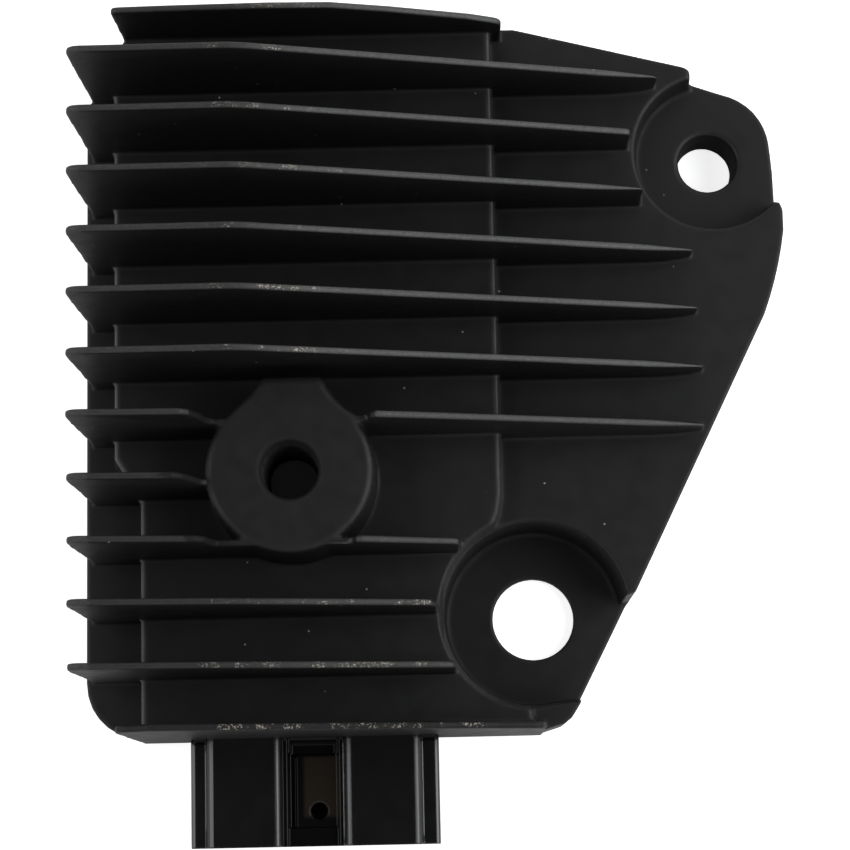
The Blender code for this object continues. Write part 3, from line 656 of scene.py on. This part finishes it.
# What each small part is made of, and how round its edges are in millimetres
smallParts = {
    "black poured epoxy resin": (0.25, ["potting_resin"]),
    "tinned brass blade": (0.12, [
        "terminal_phase_a", "terminal_phase_b", "terminal_phase_c",
        "terminal_positive", "terminal_negative",
    ]),
    "anodised aluminium plate": (0.15, ["substrate_plate"]),
    "moulded epoxy chip case": (0.2, [
        "thyristor_a", "thyristor_b", "thyristor_c", "control_chip",
        "diode_a", "diode_b", "diode_c",
    ]),
    "rolled copper bar": (0.12, ["positive_bus_bar", "negative_bus_bar"]),
    "green lacquered glass epoxy": (0.08, ["control_board"]),
    "amber dipped film capacitor": (0.45, ["film_capacitor"]),
    "blue lacquered resistor": (0.3, ["resistor_a", "resistor_b"]),
}
smallEdges = {
    "segments": 3,
    "sharpFromDegrees": 35,
}


def dressSmallParts(look):
    for finishName, (roundMm, names) in smallParts.items():
        material = smallFinish(finishName, smallPattern)
        for name in names:
            part = nodes[name]
            part.material_slots[0].material = material
            weld = part.modifiers.new("weld", "WELD")
            weld.merge_threshold = weldMm * mm
            edges = part.modifiers.new("edges", "BEVEL")
            edges.width = roundMm * mm
            edges.segments = look["segments"]
            edges.angle_limit = math.radians(look["sharpFromDegrees"])
            edges.harden_normals = True
    print("small parts dressed")


dressSmallParts(smallEdges)

# Floor, background and light of a product photographer's table, in metres and watts
studio = {
    "floorSize": 6.0,
    "floorHeight": -0.05 * mm,
    "floorColour": "#efefef",
    "floorLift": 0.8,
    "mirroredLift": 0.1,
    "worldColour": "#ffffff",
    "worldLight": 0.4,
    "sideWatts": (0.7, 1.95),
    "sideLong": (0.25, 0.4),
    "sideTall": 0.42,
    "sideColour": "#fafcff",
    "sideAway": 0.36,
    "sideHigh": 0.34,
    "cardSize": 0.5,
    "cardHeight": 0.46,
    "cardColour": "#040404",
}


def plainQuad(name, size, height):
    half = size / 2
    signs = ((-1, -1), (1, -1), (1, 1), (-1, 1))
    corners = [(signX * half, signY * half, height) for signX, signY in signs]
    mesh = bpy.data.meshes.new(name)
    mesh.from_pydata(corners, [], [(0, 1, 2, 3)])
    quad = bpy.data.objects.new(name, mesh)
    bpy.context.scene.collection.objects.link(quad)
    return quad


def seenRays(tree, straight, mirrored, other):
    # One level for straight rays, one for rays mirrored or seen through glass, one for the rest
    path = addNode(tree, "ShaderNodeLightPath")
    links = {0: path.outputs["Is Glossy Ray"], 1: path.outputs["Is Transmission Ray"]}
    seen = addNode(tree, "ShaderNodeMath", links, operation="MAXIMUM").outputs[0]
    level = addNode(tree, "ShaderNodeMapRange", {"Value": seen}, {3: other, 4: mirrored}).outputs[0]
    links = {"Value": path.outputs["Is Camera Ray"], "To Min": level}
    return addNode(tree, "ShaderNodeMapRange", links, {"To Max": straight}).outputs[0]


def makeStudio(look):
    # Paper lifted towards white for the camera, which clips most of the part's shadow on it
    floor = plainQuad("floor", look["floorSize"], look["floorHeight"])
    sweep = bpy.data.materials.new("white paper sweep")
    sweep.use_nodes = True
    tree = sweep.node_tree
    tree.nodes.clear()
    paper = addNode(tree, "ShaderNodeBsdfDiffuse", values={"Color": look["floorColour"]})
    lift = seenRays(tree, look["floorLift"], look["mirroredLift"], 0.0)
    glow = addNode(tree, "ShaderNodeEmission", {"Strength": lift})
    both = addNode(tree, "ShaderNodeAddShader", {0: paper.outputs[0], 1: glow.outputs[0]})
    addNode(tree, "ShaderNodeOutputMaterial", {"Surface": both.outputs[0]})
    floor.data.materials.append(sweep)

    world = bpy.data.worlds.new("white studio")
    bpy.context.scene.world = world
    world.use_nodes = True
    tree = world.node_tree
    tree.nodes.clear()
    links = {"Strength": seenRays(tree, 1.0, 1.0, look["worldLight"])}
    sky = addNode(tree, "ShaderNodeBackground", links, {"Color": look["worldColour"]})
    addNode(tree, "ShaderNodeOutputWorld", {"Surface": sky.outputs[0]})

    # One soft box on each side of the table
    for order, name in enumerate(("left soft box", "right soft box")):
        side = 2 * order - 1
        lamp = bpy.data.lights.new(name, "AREA")
        lamp.energy = look["sideWatts"][order]
        lamp.color = toLinear(look["sideColour"])[:3]
        lamp.shape = "RECTANGLE"
        lamp.size = look["sideLong"][order]
        lamp.size_y = look["sideTall"]
        box = bpy.data.objects.new(name, lamp)
        box.location = (side * look["sideAway"], 0.0, look["sideHigh"])
        box.rotation_euler = (-box.location).to_track_quat("-Z", "Y").to_euler()
        bpy.context.scene.collection.objects.link(box)

    # A black card overhead keeps the flat tops dark, as the dark ceiling does in the photo
    card = plainQuad("black card", look["cardSize"], look["cardHeight"])
    card.visible_camera = False
    velvet = bpy.data.materials.new("black velvet card")
    velvet.use_nodes = True
    shader = velvet.node_tree.nodes["Principled BSDF"]
    shader.inputs["Base Color"].default_value = toLinear(look["cardColour"])
    card.data.materials.append(velvet)
    print("studio ready")


makeStudio(studio)

# Camera nearly overhead, set to the photo's view of the part
cameraView = {
    "lens": 105.88,
    "sensorWidth": 36.0,
    "clipStart": 0.01,
    "place": (-0.00175, -0.050154, 0.312918),
    "tiltDegrees": 9.45,
    "rollDegrees": -1.23,
}


def makeCamera(view):
    camera = bpy.data.cameras.new("camera")
    camera.lens = view["lens"]
    camera.sensor_width = view["sensorWidth"]
    camera.clip_start = view["clipStart"]
    holder = bpy.data.objects.new("camera", camera)
    bpy.context.scene.collection.objects.link(holder)
    turn = Matrix.Rotation(math.radians(view["tiltDegrees"]), 4, "X")
    turn = turn @ Matrix.Rotation(math.radians(view["rollDegrees"]), 4, "Z")
    holder.matrix_world = Matrix.Translation(Vector(view["place"])) @ turn
    bpy.context.scene.camera = holder


makeCamera(cameraView)
bpy.context.scene.view_settings.view_transform = "Standard"
print("camera set")
